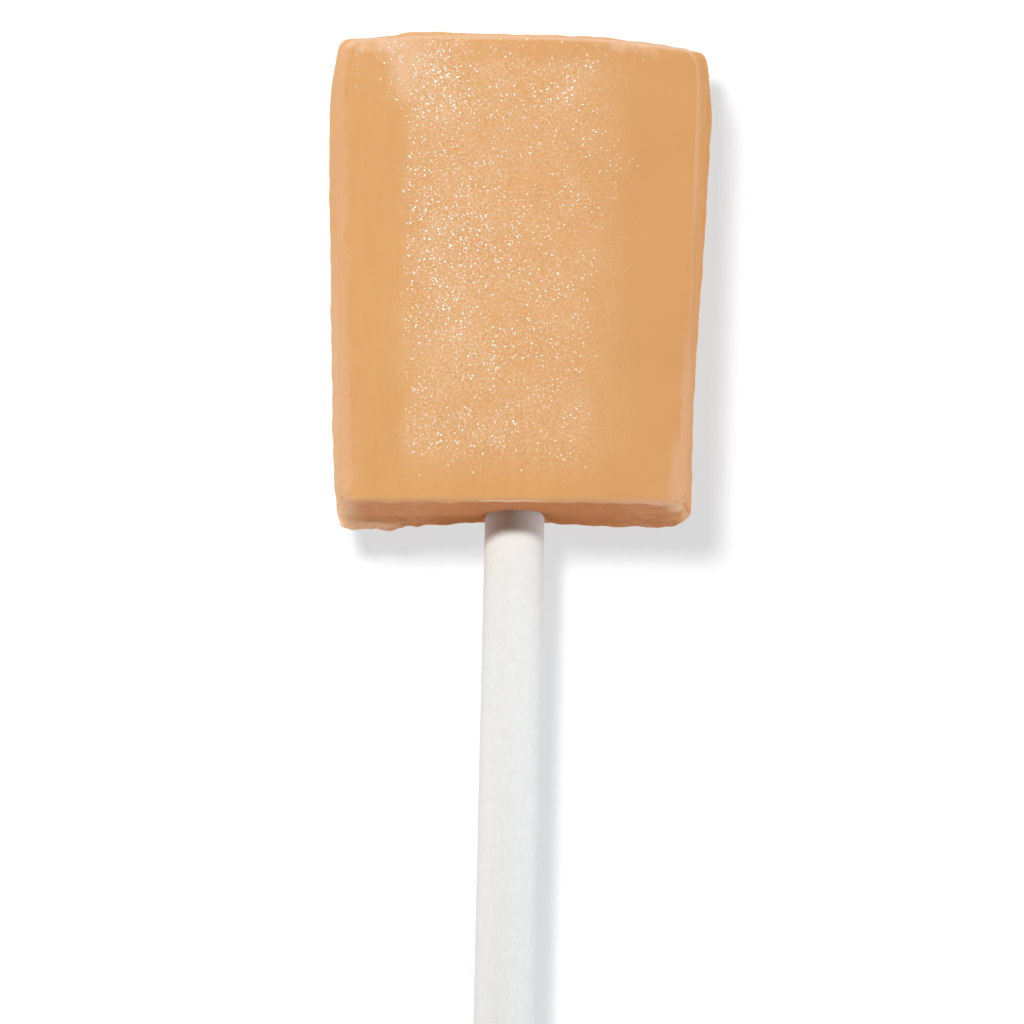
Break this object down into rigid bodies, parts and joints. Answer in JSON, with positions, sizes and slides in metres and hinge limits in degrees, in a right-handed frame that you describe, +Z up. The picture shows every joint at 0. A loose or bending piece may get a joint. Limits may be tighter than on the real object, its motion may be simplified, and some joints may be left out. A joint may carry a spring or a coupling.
{
  "type": "lollipop",
  "caption": "Square hard-candy lollipop: a thick rounded block of opaque butterscotch candy on a straight white rolled-paper stick, lying on its back.",
  "frame": {"origin": "on the flat back that the candy rests on, below the stick's centre line and half way up the front face", "axes": "+Z up out of the candy's front face, +Y along the stick from its free end to the top of the candy, +X to the right as seen from the front"},
  "size_m": [0.0305, 0.1165, 0.0141],
  "materials": {
    "butterscotch": "opaque hard candy, satin to glossy, with fine pale specks in the front face",
    "rolled_paper": "matt white rolled paper"
  },
  "bodies": {
    "root": {"candy": "butterscotch", "stick": "rolled_paper"}
  },
  "joints": []
}
